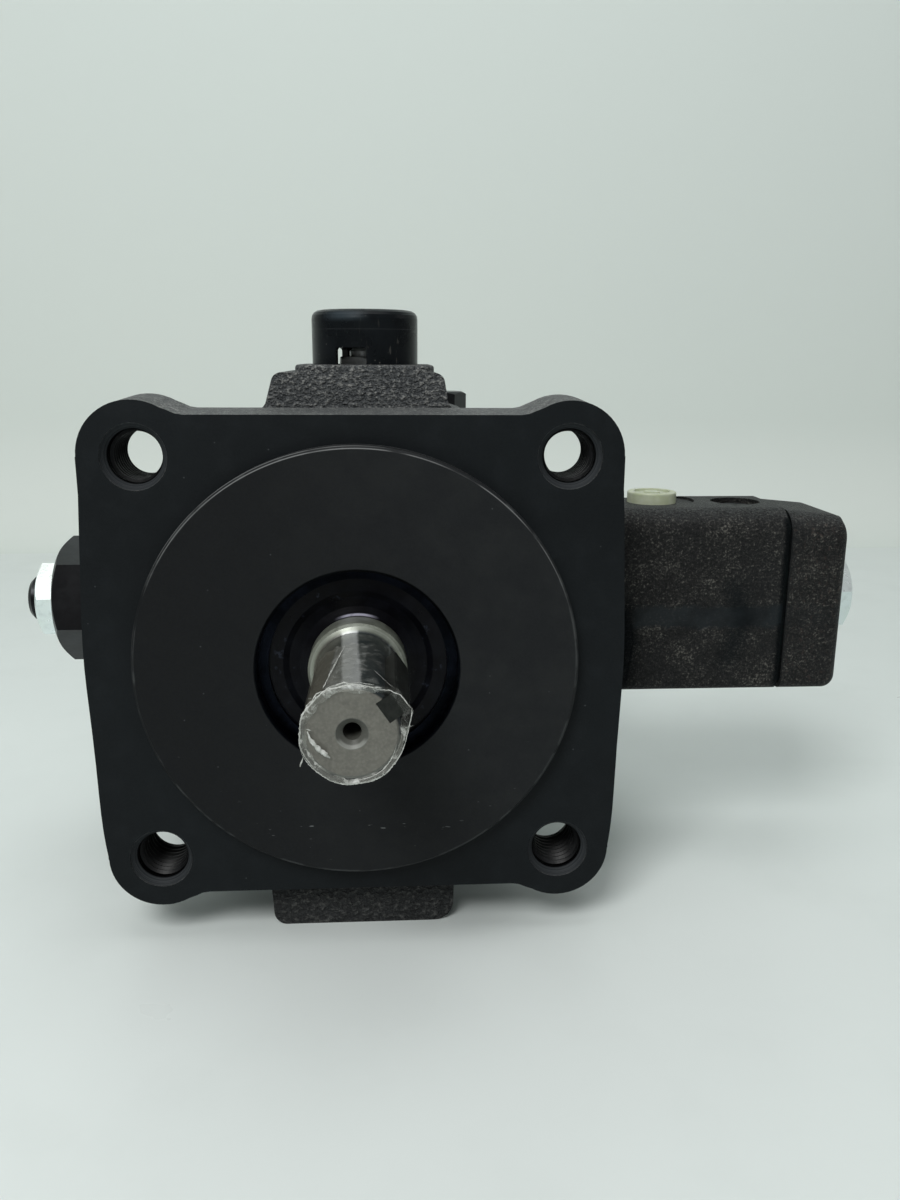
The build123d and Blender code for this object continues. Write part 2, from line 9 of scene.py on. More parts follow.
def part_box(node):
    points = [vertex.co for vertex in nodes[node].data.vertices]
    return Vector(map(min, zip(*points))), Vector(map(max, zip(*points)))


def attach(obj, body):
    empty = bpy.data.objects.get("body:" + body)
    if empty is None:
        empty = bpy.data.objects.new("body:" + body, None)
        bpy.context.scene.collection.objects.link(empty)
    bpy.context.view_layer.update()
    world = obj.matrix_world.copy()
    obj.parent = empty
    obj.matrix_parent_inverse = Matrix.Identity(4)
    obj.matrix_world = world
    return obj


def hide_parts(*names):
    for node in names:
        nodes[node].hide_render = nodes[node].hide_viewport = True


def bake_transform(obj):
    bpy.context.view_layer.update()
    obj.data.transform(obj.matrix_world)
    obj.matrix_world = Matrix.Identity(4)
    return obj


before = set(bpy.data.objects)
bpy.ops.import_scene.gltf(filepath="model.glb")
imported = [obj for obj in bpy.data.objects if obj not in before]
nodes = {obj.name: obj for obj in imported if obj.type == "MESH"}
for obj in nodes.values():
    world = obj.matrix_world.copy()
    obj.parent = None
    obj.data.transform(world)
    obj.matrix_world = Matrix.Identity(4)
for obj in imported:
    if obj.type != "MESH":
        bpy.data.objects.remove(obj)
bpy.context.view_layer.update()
scene = bpy.context.scene


# ---------------------------------------------------------------- colour and node helpers

def rgb(r, g, b):
    """A display colour, 0 to 255, as a linear one."""
    def one(v):
        v /= 255.0
        return v / 12.92 if v <= 0.04045 else ((v + 0.055) / 1.055) ** 2.4
    return (one(r), one(g), one(b), 1.0)


class Mat:
    """A node material with short calls for the nodes used here. Coordinates are the object's own, in metres."""

    def __init__(self, name, rough=0.5, metal=0.0, spec=0.5):
        self.m = bpy.data.materials.new(name)
        self.m.use_nodes = True
        self.t = self.m.node_tree
        self.t.nodes.clear()
        self.out = self.t.nodes.new("ShaderNodeOutputMaterial")
        self.b = self.t.nodes.new("ShaderNodeBsdfPrincipled")
        self.t.links.new(self.b.outputs[0], self.out.inputs[0])
        self.b.inputs["Roughness"].default_value = rough
        self.b.inputs["Metallic"].default_value = metal
        self.b.inputs["Specular IOR Level"].default_value = spec
        self._c = None

    def put(self, sock, v):
        if v is None:
            return
        if isinstance(v, bpy.types.NodeSocket):
            self.t.links.new(v, sock)
        elif isinstance(v, (tuple, list)) and len(v) == 3 and sock.type == "RGBA":
            sock.default_value = (*v, 1.0)
        else:
            sock.default_value = v

    def set(self, name, v):
        self.put(self.b.inputs[name], v)
        return self

    def coords(self):
        if self._c is None:
            self._c = self.t.nodes.new("ShaderNodeTexCoord")
        return self._c

    def pos(self):
        return self.coords().outputs["Object"]

    def nrm(self):
        return self.coords().outputs["Normal"]

    def xyz(self, v):
        n = self.t.nodes.new("ShaderNodeSeparateXYZ")
        self.put(n.inputs[0], v)
        return n.outputs[0], n.outputs[1], n.outputs[2]

    def join(self, x, y, z):
        n = self.t.nodes.new("ShaderNodeCombineXYZ")
        for s, v in zip(n.inputs, (x, y, z)):
            self.put(s, v)
        return n.outputs[0]

    def math(self, op, a, b=None, c=None, clamp=False):
        n = self.t.nodes.new("ShaderNodeMath")
        n.operation = op
        n.use_clamp = clamp
        for s, v in zip(n.inputs, (a, b, c)):
            self.put(s, v)
        return n.outputs[0]

    def add(self, a, b):
        return self.math("ADD", a, b)

    def sub(self, a, b):
        return self.math("SUBTRACT", a, b)

    def mul(self, a, b):
        return self.math("MULTIPLY", a, b)

    def most(self, a, b):
        return self.math("MAXIMUM", a, b)

    def least(self, a, b):
        return self.math("MINIMUM", a, b)

    def inv(self, a):
        return self.math("SUBTRACT", 1.0, a)

    def rise(self, x, lo, hi, a=0.0, b=1.0):
        """Goes smoothly from a to b as x goes from lo to hi."""
        n = self.t.nodes.new("ShaderNodeMapRange")
        n.interpolation_type = "SMOOTHSTEP"
        self.put(n.inputs[0], x)
        for i, v in zip((1, 2, 3, 4), (lo, hi, a, b)):
            n.inputs[i].default_value = v
        return n.outputs[0]

    def band(self, x, lo, hi, soft):
        return self.mul(self.rise(x, lo - soft, lo + soft), self.rise(x, hi - soft, hi + soft, 1.0, 0.0))

    def dist(self, a, b):
        return self.math("SQRT", self.add(self.mul(a, a), self.mul(b, b)))

    def noise(self, scale, detail=3.0, rough=0.55, vec=None, distort=0.0, out=0):
        n = self.t.nodes.new("ShaderNodeTexNoise")
        self.put(n.inputs["Vector"], vec if vec is not None else self.pos())
        n.inputs["Scale"].default_value = scale
        n.inputs["Detail"].default_value = detail
        n.inputs["Roughness"].default_value = rough
        n.inputs["Distortion"].default_value = distort
        return n.outputs[out]

    def cells(self, scale, feature="F1", vec=None, rand=1.0, out=0):
        n = self.t.nodes.new("ShaderNodeTexVoronoi")
        n.feature = feature
        self.put(n.inputs["Vector"], vec if vec is not None else self.pos())
        n.inputs["Scale"].default_value = scale
        n.inputs["Randomness"].default_value = rand
        return n.outputs[out]

    def ramp(self, x, stops, interp="LINEAR"):
        n = self.t.nodes.new("ShaderNodeValToRGB")
        n.color_ramp.interpolation = interp
        while len(n.color_ramp.elements) < len(stops):
            n.color_ramp.elements.new(0.5)
        for e, (p, c) in zip(n.color_ramp.elements, stops):
            e.position = p
            e.color = c if isinstance(c, (tuple, list)) else (c, c, c, 1.0)
        self.put(n.inputs[0], x)
        return n.outputs[0]

    def mix(self, f, a, b, kind="MIX"):
        n = self.t.nodes.new("ShaderNodeMix")
        n.data_type = "RGBA"
        n.blend_type = kind
        n.clamp_factor = True
        self.put(n.inputs[0], f)
        self.put(n.inputs[6], a)
        self.put(n.inputs[7], b)
        return n.outputs[2]

    def bump(self, height, dist, strength=1.0, after=None):
        n = self.t.nodes.new("ShaderNodeBump")
        n.inputs["Distance"].default_value = dist
        n.inputs["Strength"].default_value = strength
        self.put(n.inputs["Height"], height)
        if after is not None:
            self.put(n.inputs["Normal"], after)
        return n.outputs[0]

    def stretched(self, sx, sy, sz):
        """The object's coordinates with each axis scaled."""
        x, y, z = self.xyz(self.pos())
        return self.join(self.mul(x, sx), self.mul(y, sy), self.mul(z, sz))


def grain(s, size=1.0):
    """The height of a sand-cast skin: lumps of about a millimetre with a finer grit on them, about 0 to 1."""
    flat = s.stretched(0.95, 1.0, 1.2)
    coarse = s.noise(900 / size, 3.0, 0.6, vec=flat)
    lump = s.cells(820 / size, "SMOOTH_F1", vec=flat)
    fine = s.noise(2300 / size, 2.0, 0.6)
    low = s.rise(coarse, 0.36, 0.66)
    return s.add(s.add(s.mul(low, 0.52), s.mul(lump, 0.36)), s.mul(fine, 0.28))


# ---------------------------------------------------------------- materials

def cast_housing():
    s = Mat("cast_black_housing")
    x, y, z = s.xyz(s.pos())
    nx, ny, nz = s.xyz(s.nrm())
    facing = s.rise(ny, -0.93, -0.86, 1.0, 0.0)
    front = s.mul(facing, s.rise(y, 0.0010, 0.0016, 1.0, 0.0))
    ax, az = s.math("ABSOLUTE", x), s.math("ABSOLUTE", z)
    from_hole = s.dist(s.sub(ax, 0.048), s.sub(az, 0.048))
    hole = s.rise(from_hole, 0.0060, 0.0062, 1.0, 0.0)
    sink = s.mul(s.rise(from_hole, 0.0072, 0.00745, 1.0, 0.0), s.rise(y, 0.0026, 0.0030, 1.0, 0.0))
    radius = s.dist(x, z)
    spigot = s.rise(y, -0.0006, -0.0002, 1.0, 0.0)
    recess = s.mul(s.rise(radius, 0.0232, 0.0236, 1.0, 0.0), s.rise(y, 0.030, 0.031, 1.0, 0.0))
    pilot = s.mul(spigot, s.rise(radius, 0.0512, 0.0514, 1.0, 0.0))
    machined = s.most(s.most(front, s.most(hole, sink)), s.most(recess, pilot))
    big = s.noise(22, 3.0, 0.55)
    mid = s.noise(130, 4.0, 0.6)
    fine = s.noise(1700, 3.0, 0.6)
    gr = grain(s)
    # cast skin: near black in the pits, a painted shade, dusty grey on the grains, and greyer where it faces up, a
    # painted light
    grit = s.noise(2100, 3.0, 0.72)
    cast = s.ramp(s.add(s.add(s.mul(gr, 0.30), s.mul(mid, 0.18)), s.mul(grit, 0.58)), [
        (0.40, rgb(50, 53, 55)), (0.49, rgb(76, 79, 81)), (0.57, rgb(98, 101, 102)), (0.68, rgb(146, 147, 144))])
    # painted light: skin facing up made greyer
    up = s.rise(nz, 0.1, 0.9)
    cast = s.mix(s.mul(up, s.add(0.10, s.mul(fine, 0.4))), cast, rgb(92, 93, 92))
    side_skin = s.mul(s.rise(s.math("ABSOLUTE", nx), 0.7, 0.95), s.rise(y, 0.0186, 0.0190, 1.0, 0.0))
    cast = s.mix(s.mul(side_skin, 0.7), cast, rgb(26, 28, 30))
    # light specks along the top edges of the flange, near its front, where it faces up: grit with a painted highlight
    # on it
    edge = s.mul(s.mul(s.band(y, 0.0006, 0.0024, 0.0004), s.rise(nz, 0.35, 0.8)), s.rise(s.noise(1300, 3.0, 0.7), 0.56, 0.66))
    cast = s.mix(s.mul(edge, 0.7), cast, rgb(168, 168, 163))
    # painted shade: the skin below the flange, near the floor, made darker
    under = s.rise(z, -0.0585, -0.0575, 1.0, 0.0)
    cast = s.mix(s.mul(under, 0.75), cast, rgb(30, 30, 30))
    # painted machined face, slightly blue
    face = s.mix(s.rise(big, 0.35, 0.65), rgb(8, 13, 16), rgb(12, 17, 20))
    face = s.mix(s.mul(s.rise(mid, 0.45, 0.72), 0.3), face, rgb(27, 31, 34))
    raised = s.mix(s.rise(mid, 0.35, 0.7), rgb(23, 25, 27), rgb(29, 31, 32))
    # painted shade: the raised face darker towards the left
    raised = s.mix(s.rise(x, -0.045, 0.030, 0.9, 0.0), raised, rgb(12, 14, 16))
    face = s.mix(spigot, face, raised)
    face = s.mix(s.mul(fine, 0.12), face, rgb(60, 62, 63))
    deep = s.mix(s.rise(mid, 0.4, 0.6), rgb(6, 8, 12), rgb(14, 17, 24))
    face = s.mix(recess, face, deep)
    face = s.mix(hole, face, rgb(8, 8, 9))
    ring = s.noise(1.0, 2.0, 0.5, vec=s.join(s.mul(from_hole, 5200), 0.0, 0.0))
    face = s.mix(s.mul(sink, s.inv(hole)), face, s.mix(s.rise(ring, 0.35, 0.65), rgb(34, 37, 40), rgb(58, 61, 63)))
    # specks of dust
    dot = s.cells(430, "F1")
    px, _, _ = s.xyz(s.cells(430, "F1", out=1))
    speck = s.mul(s.rise(dot, 0.04, 0.10, 1.0, 0.0), s.rise(px, 0.90, 0.93))
    face = s.mix(s.mul(s.mul(speck, s.inv(recess)), 0.4), face, rgb(92, 96, 98))
    # thin painted highlights on the chamfer round the raised face, brighter towards the top, a double line on the upper
    # left, and a faint broken one round the spigot's edge
    turn = s.mul(s.rise(z, -0.008, 0.040), s.rise(s.noise(70, 2.0), 0.36, 0.58))
    left = s.rise(x, -0.010, 0.016, 1.0, 0.0)
    line = s.mul(s.band(radius, 0.05012, 0.05030, 0.00010), s.rise(y, -0.0037, -0.0033, 1.0, 0.0))
    line2 = s.mul(s.band(radius, 0.05066, 0.05079, 0.00008), s.rise(y, -0.0031, -0.0027, 1.0, 0.0))
    face = s.mix(s.mul(s.mul(line, turn), 0.75), face, rgb(128, 130, 130))
    face = s.mix(s.mul(s.mul(s.mul(line2, turn), left), 0.7), face, rgb(118, 120, 120))
    rim = s.mul(s.band(radius, 0.0500, 0.0506, 0.0002), spigot)
    face = s.mix(s.mul(s.mul(rim, s.rise(s.noise(170, 3.0), 0.50, 0.62)), 0.22), face, rgb(104, 108, 108))
    # short bright scratches in a strip just inside the lower edge
    strip = s.mul(s.band(s.add(z, s.mul(s.math("ABSOLUTE", x), 0.05)), -0.0392, -0.0372, 0.0006), s.mul(s.band(x, -0.036, 0.020, 0.004), spigot))
    nick = s.rise(s.noise(900, 2.0, 0.7, vec=s.stretched(0.30, 1.0, 1.7)), 0.67, 0.71)
    strip2 = s.mul(s.band(radius, 0.0425, 0.0475, 0.0010), s.mul(s.rise(z, -0.022, -0.014, 1.0, 0.0), spigot))
    nick2 = s.rise(s.noise(760, 2.0, 0.7, vec=s.stretched(0.5, 1.0, 1.2)), 0.68, 0.72)
    face = s.mix(s.mul(s.mul(nick, strip), 0.75), face, rgb(140, 144, 144))
    face = s.mix(s.mul(s.mul(nick2, strip2), 0.22), face, rgb(112, 116, 116))
    s.set("Base Color", s.mix(machined, cast, face))
    rough_face = s.add(0.46, s.mul(mid, 0.16))
    rough_cast = s.add(0.46, s.mul(gr, 0.14))
    s.set("Roughness", s.mix(machined, rough_cast, s.mix(recess, rough_face, (0.30, 0.30, 0.30))))
    s.set("Metallic", s.mul(s.most(recess, hole), 0.92))
    s.b.inputs["Specular IOR Level"].default_value = 0.13
    skin = s.inv(machined)
    soft = s.rise(ax, 0.0205, 0.0245, 1.0, 0.55)
    h = s.mul(s.mul(gr, skin), soft)
    h2 = s.mul(fine, s.mul(machined, 0.05))
    h3 = s.mul(ring, s.mul(s.mul(sink, s.inv(hole)), 0.12))
    s.set("Normal", s.bump(s.add(s.add(h, h2), h3), 0.0013, 1.0))
    return s.m


def cast_cover():
    s = Mat("cast_black_cover")
    x, y, z = s.xyz(s.pos())
    mid = s.noise(140, 4.0, 0.6)
    gr = grain(s)
    col = s.ramp(s.add(s.mul(gr, 0.55), s.mul(mid, 0.25)), [
        (0.30, rgb(22, 23, 25)), (0.52, rgb(40, 41, 43)), (0.70, rgb(58, 58, 59)), (0.92, rgb(84, 84, 83))])
    turned = s.mul(s.rise(y, 0.1051, 0.1056), 1.0)
    bore = s.rise(s.dist(s.sub(y, 0.0846), z), 0.0126, 0.0130, 1.0, 0.0)
    smooth = s.most(turned, s.mul(bore, s.rise(s.math("ABSOLUTE", x), 0.036, 0.037)))
    joint = s.rise(y, 0.0676, 0.0680, 1.0, 0.0)
    smooth = s.most(smooth, joint)
    ring = s.noise(1.0, 2.0, 0.5, vec=s.join(s.mul(s.dist(x, z), 1400), 0.0, 0.0))
    face = s.mix(s.rise(ring, 0.4, 0.6), rgb(46, 47, 48), rgb(62, 62, 62))
    s.set("Base Color", s.mix(smooth, col, face))
    s.set("Roughness", s.mix(smooth, s.add(0.55, s.mul(gr, 0.12)), (0.36, 0.36, 0.36)))
    s.b.inputs["Specular IOR Level"].default_value = 0.3
    s.set("Normal", s.bump(s.mul(gr, s.inv(smooth)), 0.00034, 0.9))
    return s.m


def cast_block(name, right=False):
    s = Mat(name)
    x, y, z = s.xyz(s.pos())
    nx, ny, nz = s.xyz(s.nrm())
    mid = s.noise(110, 4.0, 0.62)
    big = s.noise(30, 3.0, 0.6)
    grit = s.noise(1900, 3.0, 0.72)
    tone = s.noise(900, 3.0, 0.6)
    gr = grain(s, 0.8)
    f = s.add(s.add(s.mul(gr, 0.18), s.mul(mid, 0.22)), s.mul(grit, 0.62))
    col = s.ramp(f, [
        (0.37, rgb(9, 10, 11)), (0.465, rgb(20, 21, 21)), (0.530, rgb(30, 30, 30)), (0.585, rgb(46, 46, 44)), (0.66, rgb(96, 95, 90))])
    if right:
        col = s.mix(s.mul(s.rise(tone, 0.55, 0.7), 0.3), col, rgb(78, 64, 58))
        col = s.mix(s.mul(s.rise(x, 0.1126, 0.1131, 1.0, 0.0), 0.9), col, rgb(5, 8, 9))
    col = s.mix(s.mul(s.rise(big, 0.45, 0.7), 0.35), col, rgb(26, 28, 30))
    # painted light: grit lighter where the skin faces up
    up = s.rise(nz, 0.35, 0.95)
    col = s.mix(s.mul(up, s.mul(s.rise(grit, 0.35, 0.7), 0.6)), col, rgb(74, 77, 77))
    # a rubbed, oily band along the front where the skin is worn smooth, and an oily smear across it
    wob = s.mul(s.sub(s.noise(160, 3.0), 0.5), 0.004)
    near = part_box("control_block")[0][1]
    front = s.rise(y, near + 0.0010, near + 0.0022, 1.0, 0.0)
    zz = s.add(z, wob)
    rub = s.mul(s.band(zz, 0.0002, 0.0058, 0.0009), front)
    oil = s.mul(rub, 0.25)
    if not right:
        rub = s.mul(rub, s.rise(s.add(x, wob), 0.0705, 0.0730))
        arc = s.add(x, s.add(s.mul(wob, 0.5), s.mul(s.math("ABSOLUTE", s.sub(z, 0.002)), 0.35)))
        smear = s.mul(s.band(arc, 0.0985, 0.1040, 0.0026), s.mul(s.band(z, -0.0105, 0.0120, 0.0035), front))
        # painted shade: a dark column beside the flange, darkest low down, with a darker streak in it; the dark strip
        # at the seam end and the oily smear take the same dark colour
        neck = s.add(x, s.mul(s.math("ABSOLUTE", s.add(z, 0.004)), 0.14))
        shade = s.mul(s.rise(s.add(neck, s.mul(wob, 0.5)), 0.0695, 0.0765, 1.0, 0.0), s.mul(front, s.rise(z, 0.004, 0.012, 1.0, 0.25)))
        streak = s.mul(s.band(neck, 0.0712, 0.0722, 0.0004), s.mul(front, s.rise(z, 0.0, 0.006, 1.0, 0.0)))
        edge = s.mul(s.rise(x, 0.1098, 0.1112), s.mul(front, 1.0))
        dark = s.most(s.most(s.most(shade, edge), streak), s.mul(smear, 0.7))
        col = s.mix(s.mul(dark, 0.92), col, rgb(12, 16, 18))
        oil = s.most(rub, s.mul(smear, 0.3))
        s.set("Metallic", s.mul(s.most(s.most(s.most(shade, edge), streak), s.mul(smear, 0.6)), 0.85))
    col = s.mix(s.mul(oil, 0.88), col, s.mix(s.rise(mid, 0.4, 0.6), rgb(18, 22, 25), rgb(27, 32, 35)))
    s.set("Base Color", col)
    s.set("Roughness", s.mix(oil, s.add(0.48, s.mul(gr, 0.1)), (0.34, 0.34, 0.34)))
    s.b.inputs["Specular IOR Level"].default_value = 0.16
    s.set("Normal", s.bump(s.mul(s.add(s.mul(gr, 0.6), s.mul(grit, 0.5)), s.rise(oil, 0.0, 1.0, 1.0, 0.15)), 0.00055, 0.9))
    return s.m


def steel(name, tint=(150, 148, 143), rough=0.26, axis="y", lines=1600, spread=0.05):
    """Turned or ground steel with fine lines round one axis."""
    s = Mat(name, metal=1.0, rough=rough)
    x, y, z = s.xyz(s.pos())
    along = {"x": x, "y": y, "z": z}[axis]
    ring = s.noise(1.0, 3.0, 0.6, vec=s.join(s.mul(along, lines), 0.0, 0.0))
    mott = s.noise(240, 3.0, 0.6)
    base = rgb(*tint)
    dark = rgb(*[c * 0.82 for c in tint])
    s.set("Base Color", s.mix(s.mul(s.rise(mott, 0.35, 0.7), 0.6), base, dark))
    s.set("Roughness", s.add(rough - spread / 2, s.mul(ring, spread)))
    s.set("Normal", s.bump(ring, 0.000012, 0.7))
    return s.m


def shaft_steel():
    s = Mat("shaft_ground_steel", metal=0.9, rough=0.3)
    x, y, z = s.xyz(s.pos())
    r = s.dist(x, z)
    end = s.rise(y, -0.0431, -0.0427, 1.0, 0.0)
    ring = s.noise(1.0, 3.0, 0.6, vec=s.join(s.mul(y, 1800), 0.0, 0.0))
    turn = s.noise(1.0, 3.0, 0.6, vec=s.join(s.mul(r, 2600), 0.0, 0.0))
    mott = s.noise(300, 4.0, 0.65)
    fine = s.noise(1500, 3.0, 0.6)
    streak = s.noise(260, 3.0, 0.6, vec=s.stretched(1.0, 0.12, 1.0))
    # painted reflections by angle round the shaft: dark on the right with a thin light line, a bright band over the
    # top, brown-grey on the upper left, darker on the left
    ang = s.math("MULTIPLY", s.math("ARCTAN2", z, x), 180 / math.pi)
    lean = s.add(ang, s.mul(s.add(y, 0.0432), -300.0))
    lean = s.add(lean, s.mul(s.sub(s.noise(420, 3.0), 0.5), 5.0))
    frac = s.math("DIVIDE", lean, 180.0)
    body = s.ramp(frac, [
        (0.00, rgb(24, 26, 28)), (0.155, rgb(30, 34, 36)), (0.170, rgb(92, 98, 98)), (0.185, rgb(30, 36, 38)), (0.425, rgb(42, 50, 51)),
        (0.445, rgb(160, 163, 163)), (0.545, rgb(152, 155, 153)), (0.562, rgb(64, 67, 63)), (0.620, rgb(74, 75, 70)), (0.75, rgb(78, 77, 70)),
        (0.86, rgb(82, 79, 71)), (1.00, rgb(46, 44, 40))])
    # painted reflection: the lower half greyish, with streaks along it
    under = s.rise(z, -0.001, 0.0, 1.0, 0.0)
    body = s.mix(under, body, s.mix(s.rise(streak, 0.36, 0.66), rgb(96, 97, 90), rgb(72, 74, 69)))
    body = s.mix(s.mul(s.rise(mott, 0.5, 0.75), 0.25), body, rgb(150, 148, 142))
    body = s.mix(s.mul(s.rise(streak, 0.5, 0.7), 0.22), body, rgb(60, 60, 56))
    journal = s.rise(y, -0.0060, -0.0056)
    body = s.mix(s.mul(journal, 0.9), body, s.mix(s.rise(mott, 0.4, 0.7), rgb(138, 143, 132), rgb(110, 114, 104)))
    # painted highlight on the journal's front edge
    rim = s.mul(s.band(y, -0.0064, -0.0054, 0.0002), s.rise(r, 0.0104, 0.0108))
    body = s.mix(s.mul(rim, 0.6), body, rgb(168, 172, 166))
    # painted light: the centre hole's countersink made lighter, brightest at its bottom
    sink = s.mul(s.mul(s.rise(r, 0.0031, 0.0033, 1.0, 0.0), s.rise(r, 0.0017, 0.0019)), s.rise(y, -0.0405, -0.0400, 1.0, 0.0))
    face = s.mix(s.rise(mott, 0.35, 0.7), rgb(109, 108, 101), rgb(98, 97, 91))
    face = s.mix(s.mul(s.rise(fine, 0.4, 0.7), 0.25), face, rgb(140, 138, 130))
    # painted highlight: a bright crescent round the lower rim of the centre hole
    face = s.mix(s.mul(s.mul(end, s.band(r, 0.0021, 0.0029, 0.0001)), s.rise(z, -0.0018, -0.0006, 0.75, 0.0)), face, rgb(164, 166, 160))
    s.set("Base Color", s.mix(sink, s.mix(end, body, face), s.mix(s.mul(s.rise(z, -0.0020, -0.0008, 1.0, 0.0), s.rise(r, 0.0024, 0.0027)), rgb(84, 85, 80), rgb(128, 130, 125))))
    s.set("Metallic", s.mul(s.inv(s.mul(sink, 0.9)), 0.36))
    s.set("Roughness", s.mix(end, s.add(0.24, s.mul(streak, 0.18)), s.add(0.40, s.mul(turn, 0.12))))
    s.set("Normal", s.bump(s.add(s.mul(ring, s.inv(end)), s.mul(s.add(turn, s.mul(fine, 0.6)), end)), 0.000016, 0.8))
    return s.m


def zinc():
    s = Mat("zinc_plated", metal=1.0, rough=0.24)
    nx, ny, nz = s.xyz(s.nrm())
    mott = s.noise(420, 4.0, 0.6)
    big = s.noise(95, 2.0, 0.5)
    col = s.mix(s.rise(big, 0.35, 0.7), rgb(228, 237, 237), rgb(219, 228, 223))
    col = s.mix(s.mul(s.rise(mott, 0.5, 0.75), 0.45), col, rgb(180, 188, 187))
    # painted shade: facets facing down made darker
    grey = s.mul(s.rise(nz, -0.65, -0.2, 1.0, 0.0), s.rise(nx, -0.5, -0.2))
    col = s.mix(s.mul(grey, 0.75), col, rgb(166, 178, 176))
    s.set("Base Color", col)
    s.set("Roughness", s.add(0.22, s.mul(mott, 0.14)))
    s.set("Normal", s.bump(s.noise(1400, 3.0, 0.6), 0.00002, 0.8))
    return s.m


def zinc_dull():
    s = Mat("zinc_plated_dull", metal=0.25, rough=0.4)
    mott = s.noise(420, 4.0, 0.6)
    s.set("Base Color", s.mix(s.rise(mott, 0.4, 0.7), rgb(238, 241, 241), rgb(206, 211, 210)))
    s.set("Roughness", s.add(0.32, s.mul(mott, 0.14)))
    s.set("Normal", s.bump(s.noise(1400, 3.0, 0.6), 0.00002, 0.8))
    return s.m


def black_oxide(name="black_oxide_steel", axis="x"):
    s = Mat(name, metal=0.85, rough=0.34)
    x, y, z = s.xyz(s.pos())
    along = {"x": x, "y": y, "z": z}[axis]
    ring = s.noise(1.0, 3.0, 0.6, vec=s.join(s.mul(along, 1100), 0.0, 0.0))
    mott = s.noise(260, 4.0, 0.6)
    col = s.mix(s.rise(mott, 0.35, 0.7), rgb(40, 41, 43), rgb(54, 56, 58))
    if axis == "x":
        nx, ny, nz = s.xyz(s.nrm())
        # painted shade: the flat facing the front made near black
        col = s.mix(s.rise(ny, -0.95, -0.80, 0.75, 0.0), col, rgb(17, 17, 19))
    s.set("Base Color", col)
    s.set("Roughness", s.add(0.30, s.mul(mott, 0.16)))
    s.set("Normal", s.bump(s.add(s.mul(ring, 0.5), s.noise(1200, 3.0)), 0.00003, 0.6))
    return s.m


def key_steel():
    s = Mat("key_dark_steel", metal=0.7, rough=0.42)
    mott = s.noise(500, 4.0, 0.65)
    s.set("Base Color", s.mix(s.rise(mott, 0.35, 0.7), rgb(28, 30, 28), rgb(42, 44, 41)))
    s.set("Roughness", s.add(0.36, s.mul(mott, 0.2)))
    s.set("Normal", s.bump(s.noise(1600, 3.0), 0.00004, 0.7))
    return s.m


def rubber():
    s = Mat("rubber_black", rough=0.3, spec=0.5)
    x, y, z = s.xyz(s.pos())
    r = s.dist(x, z)
    mott = s.noise(180, 4.0, 0.6)
    ring = s.noise(1.0, 2.0, 0.5, vec=s.join(s.mul(r, 900), 0.0, 0.0))
    ang = s.math("MULTIPLY", s.math("ARCTAN2", z, x), 180 / math.pi)
    # painted highlight on the seal's lip, over the top
    painted_lip_highlight = s.mul(s.band(r, 0.0115, 0.0120, 0.00014), s.band(ang, 74, 108, 10.0))
    painted_lip_highlight = s.mul(painted_lip_highlight, s.rise(s.noise(260, 3.0), 0.24, 0.46))
    col = s.mix(s.rise(mott, 0.4, 0.65), rgb(2, 2, 5), rgb(8, 9, 14))
    smear = s.mul(s.rise(s.noise(420, 4.0, 0.7), 0.60, 0.72), s.band(r, 0.0150, 0.0195, 0.0008))
    col = s.mix(s.mul(smear, 0.5), col, rgb(52, 58, 70))
    s.set("Base Color", s.mix(s.mul(painted_lip_highlight, 0.9), col, rgb(172, 171, 188)))
    s.b.inputs["Specular IOR Level"].default_value = 0.10
    s.set("Roughness", s.add(0.20, s.mul(mott, 0.2)))
    s.set("Normal", s.bump(s.add(s.mul(ring, 0.6), s.mul(s.noise(900, 3.0), 0.4)), 0.00006, 0.7))
    return s.m


def gasket():
    s = Mat("gasket_black", rough=0.45, spec=0.12)
    mott = s.noise(300, 4.0, 0.6)
    s.set("Base Color", s.mix(s.rise(mott, 0.4, 0.7), rgb(3, 7, 8), rgb(7, 16, 17)))
    s.set("Roughness", s.add(0.35, s.mul(mott, 0.25)))
    s.set("Normal", s.bump(s.noise(900, 3.0), 0.00006, 0.7))
    return s.m


def cap_plastic():
    s = Mat("plastic_black_satin", rough=0.33, spec=0.16)
    x, y, z = s.xyz(s.pos())
    mott = s.noise(150, 4.0, 0.6)
    dot = s.cells(900, "F1")
    pick, _, _ = s.xyz(s.cells(900, "F1", out=1))
    dust = s.mul(s.rise(dot, 0.08, 0.22, 1.0, 0.0), s.rise(pick, 0.86, 0.9))
    fibre = s.rise(s.noise(700, 2.0, 0.6, vec=s.stretched(1.0, 1.0, 0.25)), 0.66, 0.72)
    lower = s.rise(z, 0.069, 0.078, 1.0, 0.35)
    col = s.mix(s.rise(mott, 0.35, 0.7), rgb(10, 14, 17), rgb(17, 21, 24))
    seam = s.band(z, 0.07602, 0.07616, 0.00006)
    col = s.mix(s.mul(seam, 0.3), col, rgb(70, 72, 74))
    col = s.mix(s.mul(s.most(dust, s.mul(fibre, 0.5)), s.mul(lower, 0.45)), col, rgb(120, 118, 112))
    nx, ny, nz = s.xyz(s.nrm())
    # painted highlight near the top front edge, left of centre
    painted_cap_highlight = s.mul(s.mul(s.band(x, -0.0070, 0.0010, 0.0030), s.band(z, 0.0784, 0.0804, 0.0008)), s.rise(ny, -0.7, -0.2, 1.0, 0.0))
    col = s.mix(s.mul(painted_cap_highlight, 0.6), col, rgb(62, 72, 78))
    s.set("Base Color", col)
    s.set("Roughness", s.add(0.22, s.mul(mott, 0.12)))
    s.set("Normal", s.bump(s.noise(2400, 3.0, 0.6), 0.00002, 0.6))
    return s.m


